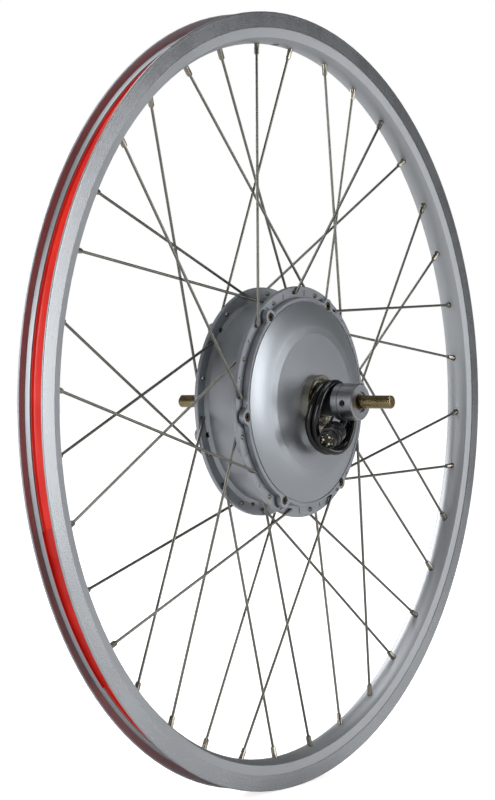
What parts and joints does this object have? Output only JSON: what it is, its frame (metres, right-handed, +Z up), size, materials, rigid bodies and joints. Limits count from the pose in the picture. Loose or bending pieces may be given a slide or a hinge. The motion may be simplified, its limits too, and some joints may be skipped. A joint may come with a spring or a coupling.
{
  "type": "hub motor wheel",
  "caption": "Spoked rear bicycle wheel with a direct drive hub motor, bare taped rim, torque sleeve and a looped motor cable with its plug.",
  "frame": {"origin": "centre of the wheel: on the axle's line, in the rim's mid plane, half way along the axle", "axes": "+Y along the axle away from the cable side, +Z up, X in the plane of the wheel"},
  "size_m": [0.571, 0.1886, 0.571],
  "materials": {
    "axle_steel": "yellow zinc plated",
    "tool_steel": "black oxide",
    "cast_carrier": "cast",
    "lamination": "stamped, blued edges",
    "copper": "enamelled copper wire",
    "board": "solder mask",
    "black_plastic": "moulded, fine grain",
    "lead_wire": "silicone insulation",
    "cable_rubber": "glossy jacket",
    "bearing_steel": "ground",
    "cage_brass": "pressed",
    "collar_rubber": "moulded",
    "sleeve_steel": "satin turned",
    "pin_gold": "gold plated",
    "hub_paint": "satin silver grey",
    "magnet": "nickel plated",
    "gasket": "fibre",
    "cover_screw": "dark zinc",
    "cap_steel": "turned and polished",
    "rim_alloy": "clear anodised, machined tracks",
    "tape_red": "smooth",
    "spoke_steel": "drawn stainless",
    "nipple_brass": "nickel plated"
  },
  "bodies": {
    "axle_assembly": {"axle": "axle_steel", "stator_key": "tool_steel", "stator_carrier": "cast_carrier", "stator_clips": "tool_steel", "stator_core": "lamination", "stator_coils": "copper", "hall_board": "board", "hall_sensors": "black_plastic", "phase_leads": "lead_wire", "inner_cable": "cable_rubber", "near_bearing_inner": "bearing_steel", "far_bearing_inner": "bearing_steel", "cable_collar": "collar_rubber", "torque_sleeve": "sleeve_steel", "sleeve_set_screw": "tool_steel", "far_spacer": "sleeve_steel", "far_locknut": "sleeve_steel", "motor_cable": "cable_rubber", "cable_relief": "cable_rubber", "plug_barrel": "black_plastic", "plug_nose": "black_plastic", "plug_insert": "black_plastic", "plug_pins": "pin_gold"},
    "wheel": {"rim": "rim_alloy", "rim_tape": "tape_red", "hub_shell": "hub_paint", "rotor_iron": "lamination", "rotor_magnets": "magnet", "near_cover": "hub_paint", "far_cover": "hub_paint", "near_gasket": "gasket", "far_gasket": "gasket", "near_cover_screws": "cover_screw", "far_cover_screws": "cover_screw", "near_bearing_cap": "cap_steel", "near_shaft_seal": "collar_rubber", "far_shaft_seal": "collar_rubber", "near_bearing_outer": "bearing_steel", "far_bearing_outer": "bearing_steel", "near_outer_spokes": "spoke_steel", "near_inner_spokes": "spoke_steel", "far_outer_spokes": "spoke_steel", "far_inner_spokes": "spoke_steel", "near_nipples": "nipple_brass", "far_nipples": "nipple_brass"},
    "near_ball_set": {"near_bearing_cage": "cage_brass", "near_bearing_balls": "bearing_steel"},
    "far_ball_set": {"far_bearing_cage": "cage_brass", "far_bearing_balls": "bearing_steel"}
  },
  "joints": [
    {"name": "wheel_spin", "type": "hinge", "parent": "axle_assembly", "child": "wheel", "pos_m": [0, 0, 0], "axis": [0, 1, 0], "continuous": true},
    {"name": "near_ball_roll", "type": "hinge", "parent": "axle_assembly", "child": "near_ball_set", "pos_m": [0, -0.0255, 0], "axis": [0, 1, 0], "continuous": true},
    {"name": "far_ball_roll", "type": "hinge", "parent": "axle_assembly", "child": "far_ball_set", "pos_m": [0, 0.0281, 0], "axis": [0, 1, 0], "continuous": true}
  ],
  "couplings": [
    {"joint": "near_ball_roll", "follows": "wheel_spin", "ratio": 0.5923},
    {"joint": "far_ball_roll", "follows": "wheel_spin", "ratio": 0.5923}
  ]
}
